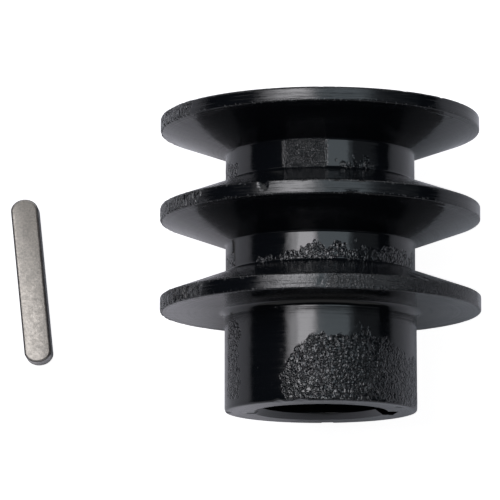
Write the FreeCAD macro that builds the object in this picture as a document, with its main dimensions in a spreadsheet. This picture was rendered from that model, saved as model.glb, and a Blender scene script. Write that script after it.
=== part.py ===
import FreeCAD, Part
import math
import os

import Sketcher

# A double-groove V-belt pulley, its loose parallel key and its set screw.
#
# Frame, in millimetres: the bore's axis is Y, and the origin is on it at the middle of the centre
# flange. The hub points towards -Y. The pulley lies on its side, so Z is up from the surface below
# its rims, and the key lies on that same surface at the pulley's -X side.

# Driving dimensions in millimetres or degrees: alias, value, what it measures.
DIMENSIONS = [
    ("flange_radius", 33.8, "outside of the three equal flanges"),
    ("root_radius", 20.0, "floor of both belt grooves"),
    ("groove_pitch", 19.2, "from one groove's middle to the next"),
    ("rim_land", 2.85, "flat outside of the first and the centre flange"),
    ("last_rim_extra", 0.25, "how much wider the hub-side flange's rim is"),
    ("root_width", 6.2, "floor of a groove, along the bore"),
    ("groove_overrun", 1.0, "how far the groove's cut runs out past the rims"),
    ("hub_radius", 20.2, "outside of the hub"),
    ("hub_length", 21.0, "from the last flange's face to the hub's end"),
    ("bore_radius", 12.5, "through bore for the shaft"),
    ("mouth_radial", 1.6, "bore mouth chamfer, across the end face"),
    ("mouth_axial", 1.2, "bore mouth chamfer, along the bore"),
    ("hub_fillet", 1.3, "where the hub runs into the last flange"),
    ("root_fillet", 0.6, "corners of the groove floors"),
    ("rim_round", 0.3, "broken edges of the rims"),
    ("hub_end_round", 0.5, "broken edge of the hub's end"),
    ("keyway_width", 6.05, "between the keyway's walls"),
    ("keyway_roof", 15.9, "from the bore's axis to the keyway's roof"),
    ("keyway_turn", 9.5, "how far the keyway has rolled below level"),
    ("screw_station", 31.4, "from the centre flange to the set screw's axis, along the hub"),
    ("tapped_radius", 3.0, "set screw's hole, its thread as a plain wall"),
    ("tapped_mouth", 0.4, "chamfer at the tapped hole's mouth"),
    ("screw_radius", 2.95, "set screw, its thread as a plain shank"),
    ("screw_length", 5.0, "set screw, end to end"),
    ("screw_seat", 15.05, "from the bore's axis to the set screw's tip, where a fitted key's top is"),
    ("screw_chamfer", 0.5, "both ends of the set screw"),
    ("cup_radius", 1.5, "mouth of the set screw's cup point"),
    ("cup_depth", 0.7, "depth of the cup point"),
    ("socket_flats", 3.0, "across the flats of the hexagon socket"),
    ("socket_depth", 2.2, "depth of the hexagon socket"),
    ("key_width", 6.0, "parallel key, side to side"),
    ("key_height", 6.0, "parallel key, bottom to top"),
    ("key_length", 36.4, "parallel key over its round ends"),
    ("key_edge", 0.6, "tumbled edges of the key"),
    ("key_turn", 6.02, "how far the key's length is turned from the bore's direction"),
    ("key_across", 63.5, "from the bore's axis to the middle of the key"),
    ("key_along", 9.3, "from the centre flange to the middle of the key, towards the hub"),
]
GROOVE_COUNT = 2
HEXAGON_SIDES = 6
CIRCLE = 360.0
SAME_PLACE = 0.02

START, END, CENTRE = 1, 2, 3
ORIGIN = (-1, START)
LEVEL_AXIS, UPRIGHT_AXIS = -1, -2

doc = FreeCAD.newDocument("v_belt_pulley")
sheet = doc.addObject("Spreadsheet::Sheet", "dims")


def fill_sheet():
    """Writes each driving dimension on a row of its own: name, value, meaning."""
    for row, (alias, value, meaning) in enumerate(DIMENSIONS, start=1):
        sheet.set("A%d" % row, alias)
        sheet.set("B%d" % row, str(value))
        sheet.set("C%d" % row, meaning)
        sheet.setAlias("B%d" % row, alias)
    doc.recompute()


def size(alias):
    """Reads a driving dimension from the sheet."""
    return float(sheet.get(alias))


def new_body(name):
    """Adds a body whose label is the name of its piece."""
    body = doc.addObject("PartDesign::Body", name)
    body.Label = name
    return body


def new_sketch(body, name, role):
    """Adds a sketch on one of the body's own origin planes: XY_Plane, XZ_Plane or YZ_Plane."""
    sketch = body.newObject("Sketcher::SketchObject", name)
    plane = next(item for item in body.Origin.OriginFeatures if item.Role == role)
    sketch.AttachmentSupport = [(plane, "")]
    sketch.MapMode = "FlatFace"
    return sketch


def bind(sketch, expression, kind, *where):
    """Adds a dimension to a sketch and ties it to an expression on the sheet's cells."""
    index = sketch.addConstraint(Sketcher.Constraint(kind, *where, 1.0))
    sketch.setExpression("Constraints[%d]" % index, expression)


def place_point(sketch, geometry, point, across, up):
    """Holds a sketch point at two expressions, measured from the sketch's origin. "0" is on the axis."""
    for kind, expression, axis in (("DistanceX", across, UPRIGHT_AXIS), ("DistanceY", up, LEVEL_AXIS)):
        if expression == "0":
            sketch.addConstraint(Sketcher.Constraint("PointOnObject", geometry, point, axis))
        else:
            bind(sketch, expression, kind, *ORIGIN, geometry, point)


def outline(sketch, corners):
    """Draws a closed polygon whose corners are pairs of expressions on the sheet's cells."""
    count = len(corners)
    turns = [2 * math.pi * index / count for index in range(count)]
    loose = [FreeCAD.Vector(math.cos(turn), math.sin(turn), 0) for turn in turns]
    for index in range(count):
        sketch.addGeometry(Part.LineSegment(loose[index], loose[(index + 1) % count]), False)
    for index, (across, up) in enumerate(corners):
        sketch.addConstraint(Sketcher.Constraint("Coincident", index, END, (index + 1) % count, START))
        place_point(sketch, index, START, across, up)


def disc(sketch, radius, across="0", up="0"):
    """Draws a circle from expressions for its radius and its centre."""
    circle = sketch.addGeometry(Part.Circle(FreeCAD.Vector(0, 0, 0), FreeCAD.Vector(0, 0, 1), 1.0), False)
    bind(sketch, radius, "Radius", circle)
    place_point(sketch, circle, CENTRE, across, up)


def turned(body, kind, name, sketch):
    """Revolves a sketch a full turn about its upright axis, to add (Revolution) or cut (Groove)."""
    feature = body.newObject("PartDesign::" + kind, name)
    feature.Profile = sketch
    feature.ReferenceAxis = (sketch, ["V_Axis"])
    feature.Angle = CIRCLE
    doc.recompute()
    return feature


def cut_through(body, name, sketch, side="Symmetric", backwards=False):
    """Cuts a sketch right through the body, both ways or on one side of its plane."""
    pocket = body.newObject("PartDesign::Pocket", name)
    pocket.Profile = sketch
    pocket.SideType = side
    pocket.Type = "ThroughAll"
    pocket.Reversed = backwards
    doc.recompute()
    return pocket


def edges_where(feature, wanted):
    """Names the edges of a feature's shape that a test accepts."""
    return ["Edge%d" % (i + 1) for i, edge in enumerate(feature.Shape.Edges) if wanted(edge)]


def ring_test(radii, stations):
    """Makes a test for whole circles about the Y axis with given radii and, if given, stations on Y."""
    def wanted(edge):
        if not isinstance(edge.Curve, Part.Circle):
            return False
        centre = edge.Curve.Center
        on_axis = math.hypot(centre.x, centre.z) < SAME_PLACE
        right_radius = any(abs(edge.Curve.Radius - radius) < SAME_PLACE for radius in radii)
        right_station = any(abs(centre.y - station) < SAME_PLACE for station in stations)
        return on_axis and right_radius and right_station
    return wanted


def dress(body, kind, name, base, edges, alias):
    """Rounds (Fillet) or bevels (Chamfer) edges of the last feature by a size from the sheet."""
    feature = body.newObject("PartDesign::" + kind, name)
    feature.Base = (base, edges)
    feature.setExpression("Radius" if kind == "Fillet" else "Size", "dims." + alias)
    doc.recompute()
    return feature


def must_shrink(before, after, name):
    """Stops if a cutting feature took nothing away."""
    if after.Shape.Volume >= before.Shape.Volume:
        raise RuntimeError(name + " cut nothing")


def make_pulley():
    """One iron casting, turned all over where a belt or a shaft runs: hub, bore and three flanges."""
    body = new_body("pulley_casting")
    flange_end = "dims.groove_pitch + dims.rim_land / 2"
    hub_side_face = "-(dims.groove_pitch + dims.rim_land / 2 + dims.last_rim_extra)"
    hub_end = "-(dims.groove_pitch + dims.rim_land / 2 + dims.last_rim_extra + dims.hub_length)"
    blank_sketch = new_sketch(body, "blank_outline", "XY_Plane")
    outline(blank_sketch, [
        ("0", flange_end),
        ("dims.flange_radius", flange_end),
        ("dims.flange_radius", hub_side_face),
        ("dims.hub_radius", hub_side_face),
        ("dims.hub_radius", hub_end),
        ("0", hub_end),
    ])
    blank = turned(body, "Revolution", "blank", blank_sketch)

    mouth_radius = "dims.bore_radius + dims.mouth_radial"
    bore_sketch = new_sketch(body, "bore_outline", "XY_Plane")
    outline(bore_sketch, [
        ("0", flange_end),
        (mouth_radius, flange_end),
        ("dims.bore_radius", flange_end + " - dims.mouth_axial"),
        ("dims.bore_radius", hub_end + " + dims.mouth_axial"),
        (mouth_radius, hub_end),
        ("0", hub_end),
    ])
    bore = turned(body, "Groove", "bore", bore_sketch)
    must_shrink(blank, bore, "bore")

    depth = "(dims.flange_radius - dims.root_radius)"
    run_out = "(" + depth + " + dims.groove_overrun)"
    slope = "((dims.groove_pitch - dims.rim_land - dims.root_width) / 2 / " + depth + ")"
    half_floor = "dims.root_width / 2"
    half_mouth = "(dims.root_width / 2 + " + slope + " * " + run_out + ")"
    middle = "dims.groove_pitch / 2"
    groove_sketch = new_sketch(body, "belt_groove_outline", "XY_Plane")
    outline(groove_sketch, [
        ("dims.root_radius", middle + " + " + half_floor),
        ("dims.flange_radius + dims.groove_overrun", middle + " + " + half_mouth),
        ("dims.flange_radius + dims.groove_overrun", middle + " - " + half_mouth),
        ("dims.root_radius", middle + " - " + half_floor),
    ])
    belt_groove = turned(body, "Groove", "belt_groove", groove_sketch)
    must_shrink(bore, belt_groove, "belt_groove")
    both_grooves = body.newObject("PartDesign::LinearPattern", "both_belt_grooves")
    both_grooves.Originals = [belt_groove]
    both_grooves.Direction = (groove_sketch, ["V_Axis"])
    both_grooves.Reversed = True
    both_grooves.Mode = "Spacing"
    both_grooves.Occurrences = GROOVE_COUNT
    both_grooves.setExpression("Offset", "dims.groove_pitch")
    body.Tip = both_grooves
    doc.recompute()
    must_shrink(belt_groove, both_grooves, "both_belt_grooves")

    keyway_sketch = new_sketch(body, "keyway_outline", "XZ_Plane")
    outline(keyway_sketch, [
        ("0", "dims.keyway_width / 2"),
        ("dims.keyway_roof", "dims.keyway_width / 2"),
        ("dims.keyway_roof", "-dims.keyway_width / 2"),
        ("0", "-dims.keyway_width / 2"),
    ])
    keyway = cut_through(body, "keyway", keyway_sketch)
    must_shrink(both_grooves, keyway, "keyway")

    hole_sketch = new_sketch(body, "tapped_hole_outline", "YZ_Plane")
    disc(hole_sketch, "dims.tapped_radius", "-dims.screw_station")
    tapped_hole = cut_through(body, "tapped_hole", hole_sketch, "One side", backwards=True)
    must_shrink(keyway, tapped_hole, "tapped_hole")

    half_land = size("rim_land") / 2
    pitch = size("groove_pitch")
    hub_face = -(pitch + half_land + size("last_rim_extra"))
    rim_stations = [pitch + half_land, pitch - half_land, half_land]
    rim_stations += [-half_land, half_land - pitch, hub_face]
    root_stations = [sign * pitch / 2 + side * size("root_width") / 2 for sign in (1, -1) for side in (1, -1)]
    hub_junction = edges_where(tapped_hole, ring_test([size("hub_radius")], [hub_face]))
    hub_fillet = dress(body, "Fillet", "hub_fillet", tapped_hole, hub_junction, "hub_fillet")
    roots = edges_where(hub_fillet, ring_test([size("root_radius")], root_stations))
    root_fillet = dress(body, "Fillet", "root_fillet", hub_fillet, roots, "root_fillet")
    rims = edges_where(root_fillet, ring_test([size("flange_radius")], rim_stations))
    rim_round = dress(body, "Fillet", "rim_round", root_fillet, rims, "rim_round")
    hub_rim = edges_where(rim_round, ring_test([size("hub_radius")], [hub_face - size("hub_length")]))
    hub_round = dress(body, "Fillet", "hub_end_round", rim_round, hub_rim, "hub_end_round")

    def outer_mouth(edge):
        box = edge.BoundBox
        across = abs(box.YLength - 2 * size("tapped_radius")) < SAME_PLACE
        return across and box.XMin > size("hub_radius") - size("tapped_mouth")

    mouth = edges_where(hub_round, outer_mouth)
    tapped_mouth = dress(body, "Chamfer", "tapped_mouth", hub_round, mouth, "tapped_mouth")
    for name, edges, expected in (("hub junction", hub_junction, 1), ("roots", roots, 4), ("rims", rims, 6),
                                  ("hub rim", hub_rim, 1), ("tapped mouth halves", mouth, 2)):
        if len(edges) != expected:
            raise RuntimeError("%s: %d edges, not %d" % (name, len(edges), expected))
    body.Tip = tapped_mouth
    turn = FreeCAD.Rotation(FreeCAD.Vector(0, 1, 0), size("keyway_turn"))
    body.Placement = FreeCAD.Placement(FreeCAD.Vector(0, 0, 0), turn)
    return body


def make_key():
    """A parallel key with two round ends and tumbled edges, lying on the surface below the rims."""
    body = new_body("parallel_key")
    sketch = new_sketch(body, "key_outline", "XY_Plane")
    half = size("key_width") / 2
    reach = size("key_length") / 2 - half
    axis = FreeCAD.Vector(0, 0, 1)
    far = Part.ArcOfCircle(Part.Circle(FreeCAD.Vector(0, reach, 0), axis, half), 0, math.pi)
    near = Part.ArcOfCircle(Part.Circle(FreeCAD.Vector(0, -reach, 0), axis, half), math.pi, 2 * math.pi)
    left = Part.LineSegment(FreeCAD.Vector(-half, reach, 0), FreeCAD.Vector(-half, -reach, 0))
    right = Part.LineSegment(FreeCAD.Vector(half, -reach, 0), FreeCAD.Vector(half, reach, 0))
    far_end, left_side, near_end, right_side = [sketch.addGeometry(g, False) for g in (far, left, near, right)]
    loop = [far_end, left_side, near_end, right_side]
    for first, second in zip(loop, loop[1:] + loop[:1]):
        sketch.addConstraint(Sketcher.Constraint("Tangent", first, END, second, START))
    centre_offset = "(dims.key_length - dims.key_width) / 2"
    place_point(sketch, far_end, CENTRE, "0", centre_offset)
    place_point(sketch, near_end, CENTRE, "0", "-" + centre_offset)
    bind(sketch, "dims.key_width / 2", "Radius", far_end)
    sketch.addConstraint(Sketcher.Constraint("Equal", far_end, near_end))
    pad = body.newObject("PartDesign::Pad", "key_bar")
    pad.Profile = sketch
    pad.setExpression("Length", "dims.key_height")
    doc.recompute()
    flat_levels = (0.0, size("key_height"))

    def around_a_face(edge):
        box = edge.BoundBox
        return box.ZLength < SAME_PLACE and any(abs(box.ZMin - level) < SAME_PLACE for level in flat_levels)

    edges = edges_where(pad, around_a_face)
    dress(body, "Fillet", "tumbled_edges", pad, edges, "key_edge")
    turn = FreeCAD.Rotation(FreeCAD.Vector(0, 0, 1), size("key_turn"))
    place = FreeCAD.Vector(-size("key_across"), -size("key_along"), -size("flange_radius"))
    body.Placement = FreeCAD.Placement(place, turn)
    return body


def make_set_screw():
    """A hexagon socket set screw with a cup point, above the keyway in the hub."""
    body = new_body("set_screw")
    shank_sketch = new_sketch(body, "shank_outline", "XZ_Plane")
    bevel_radius = "dims.screw_radius - dims.screw_chamfer"
    outline(shank_sketch, [
        ("0", "dims.cup_depth"),
        ("dims.cup_radius", "0"),
        (bevel_radius, "0"),
        ("dims.screw_radius", "dims.screw_chamfer"),
        ("dims.screw_radius", "dims.screw_length - dims.screw_chamfer"),
        (bevel_radius, "dims.screw_length"),
        ("0", "dims.screw_length"),
    ])
    shank = turned(body, "Revolution", "shank", shank_sketch)
    end_face = next("Face%d" % (i + 1) for i, face in enumerate(shank.Shape.Faces)
                    if abs(face.BoundBox.ZMin - size("screw_length")) < SAME_PLACE)
    socket_sketch = body.newObject("Sketcher::SketchObject", "socket_outline")
    socket_sketch.AttachmentSupport = [(shank, end_face)]
    socket_sketch.MapMode = "FlatFace"
    half_side = CIRCLE / 2 / HEXAGON_SIDES
    corner_radius = "(dims.socket_flats / 2 / cos(%d deg))" % round(half_side)
    corners = []
    for side in range(HEXAGON_SIDES):
        angle = "%d deg" % round((2 * side + 1) * half_side)
        corners.append((corner_radius + " * cos(" + angle + ")", corner_radius + " * sin(" + angle + ")"))
    outline(socket_sketch, corners)
    socket = body.newObject("PartDesign::Pocket", "hexagon_socket")
    socket.Profile = socket_sketch
    socket.setExpression("Length", "dims.socket_depth")
    doc.recompute()
    must_shrink(shank, socket, "hexagon_socket")
    lean = FreeCAD.Rotation(FreeCAD.Vector(0, 1, 0), CIRCLE / 4 + size("keyway_turn"))
    outwards = lean.multVec(FreeCAD.Vector(0, 0, 1))
    seat = outwards * size("screw_seat") - FreeCAD.Vector(0, size("screw_station"), 0)
    body.Placement = FreeCAD.Placement(seat, lean)
    return body


def check_document(bodies):
    """Stops if any object failed, or if a piece's shape is missing, invalid or more than one solid."""
    doc.recompute()
    for item in doc.Objects:
        if "Invalid" in item.State or "Error" in item.State:
            raise RuntimeError("%s failed: %s" % (item.Name, item.State))
    for body in bodies:
        if body.Shape.isNull() or not body.Shape.isValid() or len(body.Shape.Solids) != 1:
            raise RuntimeError(body.Label + " is not one valid solid")


def write_parts(bodies):
    """Writes each piece to a STEP file named after it."""
    os.makedirs("parts", exist_ok=True)
    for body in bodies:
        body.Shape.exportStep("parts/" + body.Label + ".step")
        box = body.Shape.BoundBox
        print("%s: %.1f mm3, X %.2f..%.2f, Y %.2f..%.2f, Z %.2f..%.2f" % (
            body.Label, body.Shape.Volume, box.XMin, box.XMax, box.YMin, box.YMax, box.ZMin, box.ZMax))


fill_sheet()
pieces = [make_pulley(), make_key(), make_set_screw()]
check_document(pieces)
write_parts(pieces)
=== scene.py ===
"""Looks of a double-groove V-belt pulley with its loose parallel key and its set screw.

Everything is in metres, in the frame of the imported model: the bore runs along Y with the hub
towards -Y, Z is up, and the pulley and the key lie on the floor below the rims.
"""

import logging
import math
from contextlib import contextmanager
from dataclasses import dataclass, field
from enum import Enum
from typing import Callable, ClassVar, Iterator, Sequence

import bpy
import numpy as np
from mathutils import Matrix, Vector, noise


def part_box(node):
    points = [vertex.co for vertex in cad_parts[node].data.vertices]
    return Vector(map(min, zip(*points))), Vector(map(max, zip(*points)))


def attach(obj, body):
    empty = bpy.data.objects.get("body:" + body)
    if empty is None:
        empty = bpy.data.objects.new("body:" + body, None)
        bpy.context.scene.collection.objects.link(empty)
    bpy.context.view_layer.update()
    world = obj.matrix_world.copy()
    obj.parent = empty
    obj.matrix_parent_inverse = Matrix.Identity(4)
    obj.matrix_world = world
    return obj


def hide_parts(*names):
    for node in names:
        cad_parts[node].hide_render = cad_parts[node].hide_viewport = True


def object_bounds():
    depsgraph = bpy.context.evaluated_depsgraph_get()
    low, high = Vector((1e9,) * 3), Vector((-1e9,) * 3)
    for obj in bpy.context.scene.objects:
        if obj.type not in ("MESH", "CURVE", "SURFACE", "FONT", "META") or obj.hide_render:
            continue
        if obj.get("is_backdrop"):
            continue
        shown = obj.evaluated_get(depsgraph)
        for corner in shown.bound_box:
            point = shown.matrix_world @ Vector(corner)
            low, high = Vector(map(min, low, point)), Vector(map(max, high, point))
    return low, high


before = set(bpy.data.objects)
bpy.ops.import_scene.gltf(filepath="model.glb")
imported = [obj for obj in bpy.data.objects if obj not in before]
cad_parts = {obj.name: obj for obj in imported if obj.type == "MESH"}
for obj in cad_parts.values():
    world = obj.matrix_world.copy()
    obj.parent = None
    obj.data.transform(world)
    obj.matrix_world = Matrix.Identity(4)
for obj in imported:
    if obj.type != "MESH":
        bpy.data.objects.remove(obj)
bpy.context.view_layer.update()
LOG = logging.getLogger("v_belt_pulley")

MM = 0.001
FULL_TURN = 2.0 * math.pi
SKIN_ATTRIBUTE = "cast_skin"
WEAR_ATTRIBUTE = "edge_wear"
SPECKLE_ATTRIBUTE = "fine_speckle"
SIDE_SHADE_ATTRIBUTE = "painted_edge_shade"
KEYWAY_TURN = 9.5  # degrees from +X towards -Z, for the keyway and the screw over it
SCREW_STATION = -31.4  # millimetres along the bore
EDGE_LOOP = 0.3  # millimetres from a rounded edge to the loop that keeps its shading tight
TINY = 1e-7  # metres, less than any distance between two vertices
SMOOTH_BELOW = 32.0  # degrees, the sharpest edge that is shaded smoothly
Point = tuple[float, float]
Colour = tuple[float, float, float, float]
Piece = bpy.types.Object
Socket = bpy.types.NodeSocket


class Slot(Enum):
    """Material slots of the part's record."""

    BLACK_PAINT = "black_paint"
    KEY_STEEL = "key_steel"
    SCREW_STEEL = "screw_steel"


# ---- Bench tools: selecting, editing and cutting meshes with operators ----


def clear_selection() -> None:
    """Leaves edit mode and deselects every object."""
    if bpy.context.object is not None and bpy.context.object.mode != "OBJECT":
        bpy.ops.object.mode_set(mode="OBJECT")
    bpy.ops.object.select_all(action="DESELECT")


def take_up(piece: Piece) -> None:
    """Makes one object the only selected one, and active."""
    clear_selection()
    piece.select_set(True)
    bpy.context.view_layer.objects.active = piece


@contextmanager
def editing(piece: Piece) -> Iterator[None]:
    """Opens a piece in edit mode with nothing selected, and closes it again.

    Args:
        piece: the object to edit.
    """
    take_up(piece)
    bpy.ops.object.mode_set(mode="EDIT")
    bpy.ops.mesh.select_mode(type="VERT")
    bpy.ops.mesh.select_all(action="DESELECT")
    yield
    bpy.ops.object.mode_set(mode="OBJECT")


def select_where(piece: Piece, kind: str, wanted: Callable[[bpy.types.bpy_struct], bool]) -> None:
    """Selects the vertices or the faces that a test accepts, in edit mode.

    Args:
        piece: the object that is open in edit mode.
        kind: VERT or FACE.
        wanted: a test on a vertex or a face.
    """
    bpy.ops.mesh.select_mode(type=kind)
    bpy.ops.mesh.select_all(action="DESELECT")
    bpy.ops.object.mode_set(mode="OBJECT")
    for part in piece.data.vertices if kind == "VERT" else piece.data.polygons:
        part.select = wanted(part)
    bpy.ops.object.mode_set(mode="EDIT")


def settle() -> None:
    """Puts the place, turn and scale of the selected object into its mesh."""
    bpy.ops.object.transform_apply(location=True, rotation=True, scale=True)


def new_piece(name: str) -> Piece:
    """Names the primitive that was just added, and puts its place into its mesh.

    Args:
        name: the piece's name.

    Returns:
        The named object.
    """
    piece = bpy.context.object
    piece.name = name
    piece.data.name = name
    settle()
    return piece


def apply_modifier(piece: Piece, kind: str, **settings: object) -> None:
    """Adds a modifier to a piece, sets it up and applies it.

    Args:
        piece: the object to change.
        kind: the modifier's type.
        settings: the modifier's properties by name.
    """
    take_up(piece)
    bpy.ops.object.modifier_add(type=kind)
    modifier = piece.modifiers[-1]
    for name, value in settings.items():
        setattr(modifier, name, value)
    bpy.ops.object.modifier_apply(modifier=modifier.name)


def cut_away(piece: Piece, cutter: Piece) -> None:
    """Cuts one solid out of another and throws the cutter away."""
    apply_modifier(piece, "BOOLEAN", operation="DIFFERENCE", solver="EXACT", object=cutter)
    bpy.data.objects.remove(cutter, do_unlink=True)


def turn_about_bore(piece: Piece, angle: float) -> None:
    """Turns a mesh about the bore's axis by an angle in radians, from +X towards -Z."""
    take_up(piece)
    piece.rotation_euler = (0.0, angle, 0.0)
    settle()


def read_rows(items: bpy.types.bpy_prop_collection, name: str) -> np.ndarray:
    """Reads one vector of each of a mesh's items, such as its vertices, a row for each."""
    rows = np.empty(len(items) * 3)
    items.foreach_get(name, rows)
    return rows.reshape(-1, 3)


def bore_radii(places: np.ndarray) -> np.ndarray:
    """Gives each place's distance from the bore's axis, in millimetres."""
    return np.hypot(places[:, 0], places[:, 2]) / MM


def bore_angles(places: np.ndarray) -> np.ndarray:
    """Gives each place's angle about the bore, from the top towards +X, in radians."""
    return np.arctan2(places[:, 0], places[:, 2])


def write_places(piece: Piece, places: np.ndarray) -> None:
    """Moves a mesh's vertices to new places, one row for each."""
    piece.data.vertices.foreach_set("co", places.ravel())
    piece.data.update()


def write_attribute(piece: Piece, name: str, values: np.ndarray) -> None:
    """Stores one number for each vertex, under a name that the materials read."""
    attribute = piece.data.attributes.new(name, "FLOAT", "POINT")
    attribute.data.foreach_set("value", values)


def smooth_shading(piece: Piece) -> None:
    """Shades a piece smoothly, apart from its sharp edges."""
    take_up(piece)
    bpy.ops.object.shade_smooth_by_angle(angle=math.radians(SMOOTH_BELOW))


def close_up(piece: Piece, gap: float = 1e-6) -> None:
    """Merges doubled vertices and turns every face outwards.

    Args:
        piece: the object to mend.
        gap: how near two vertices are to be one, in metres.
    """
    with editing(piece):
        bpy.ops.mesh.select_all(action="SELECT")
        bpy.ops.mesh.remove_doubles(threshold=gap)
        bpy.ops.mesh.normals_make_consistent(inside=False)


def smooth_step(values: np.ndarray, low: float, high: float) -> np.ndarray:
    """Rises smoothly from 0 at low to 1 at high."""
    t = np.clip((values - low) / (high - low), 0.0, 1.0)
    return t * t * (3.0 - 2.0 * t)


def grain(places: np.ndarray, wavelength: float, seed: float) -> np.ndarray:
    """Gives smooth noise of about -1 to 1 at each place.

    Args:
        places: one row for each place, in metres.
        wavelength: size of the noise's features, in metres.
        seed: moves the pattern, so that two patterns differ.

    Returns:
        One number for each place.
    """
    shift = Vector((seed, 2.3 * seed, 5.1 * seed))
    return np.array([noise.noise(Vector(place) / wavelength + shift) for place in places])


# ---- Turned outlines ----


@dataclass(frozen=True)
class Corner:
    """A corner of a turned outline. Sizes are in millimetres.

    Attributes:
        radius: distance from the bore's axis.
        station: place along the bore.
        rounding: radius of the corner's arc.
        spacing: length of the segments of the run that follows.
    """

    radius: float
    station: float
    rounding: float = 0.0
    spacing: float = 100.0


def rounded_outline(corners: list[Corner], arc_steps: int = 3) -> list[Vector]:
    """Works out the points of a closed outline with its corners rounded and its runs divided.

    Args:
        corners: the outline's corners in order.
        arc_steps: segments of each rounded corner.

    Returns:
        Points in the plane of X and Y, in metres, with X as the radius.
    """
    points: list[Vector] = []
    ends: list[tuple[list[Vector], float]] = []
    neighbours = zip(corners[-1:] + corners[:-1], corners, corners[1:] + corners[:1])
    for before, here, after in neighbours:
        corner = Vector((here.radius, here.station, 0.0))
        back = (Vector((before.radius, before.station, 0.0)) - corner).normalized()
        ahead = (Vector((after.radius, after.station, 0.0)) - corner).normalized()
        if here.rounding == 0.0:
            ends.append(([corner], here.spacing))
            continue
        half = back.angle(ahead) / 2.0
        reach = here.rounding / math.tan(half)
        centre = corner + (back + ahead).normalized() * here.rounding / math.sin(half)
        start = corner + back * reach - centre
        sweep = math.pi - 2.0 * half
        side = 1.0 if start.cross(corner + ahead * reach - centre).z > 0.0 else -1.0
        arc = [centre + Matrix.Rotation(side * sweep * k / arc_steps, 3, "Z") @ start
               for k in range(arc_steps + 1)]
        ends.append((arc, here.spacing))
    for (arc, spacing), (following, _) in zip(ends, ends[1:] + ends[:1]):
        points.extend(arc)
        run = following[0] - arc[-1]
        pieces = max(1, round(run.length / spacing))
        shares = [k / pieces for k in range(1, pieces)]
        if run.length / pieces > 4.0 * EDGE_LOOP:
            shares = [EDGE_LOOP / run.length] + shares + [1.0 - EDGE_LOOP / run.length]
        points.extend(arc[-1] + run * share for share in shares)
    return [point * MM for point in points]


def turn_outline(name: str, points: Sequence[Vector], steps: int) -> Piece:
    """Turns a closed outline about the bore's axis into a closed solid.

    Args:
        name: the new piece's name.
        points: the outline, with X as the radius.
        steps: segments round the axis.

    Returns:
        The turned piece.
    """
    clear_selection()
    bpy.ops.mesh.primitive_plane_add(size=MM, location=points[0])
    piece = new_piece(name)
    with editing(piece):
        bpy.ops.mesh.select_all(action="SELECT")
        bpy.ops.mesh.merge(type="CENTER")
        for here, there in zip(points, list(points[1:]) + [points[0]]):
            bpy.ops.mesh.extrude_vertices_move(TRANSFORM_OT_translate={"value": there - here})
        bpy.ops.mesh.select_all(action="SELECT")
        bpy.ops.mesh.remove_doubles(threshold=TINY)
        bpy.ops.mesh.spin(steps=steps, angle=FULL_TURN, center=(0.0, 0.0, 0.0),
                          axis=(0.0, 1.0, 0.0))
    close_up(piece, TINY)
    return piece


# ---- Finishes ----


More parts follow.
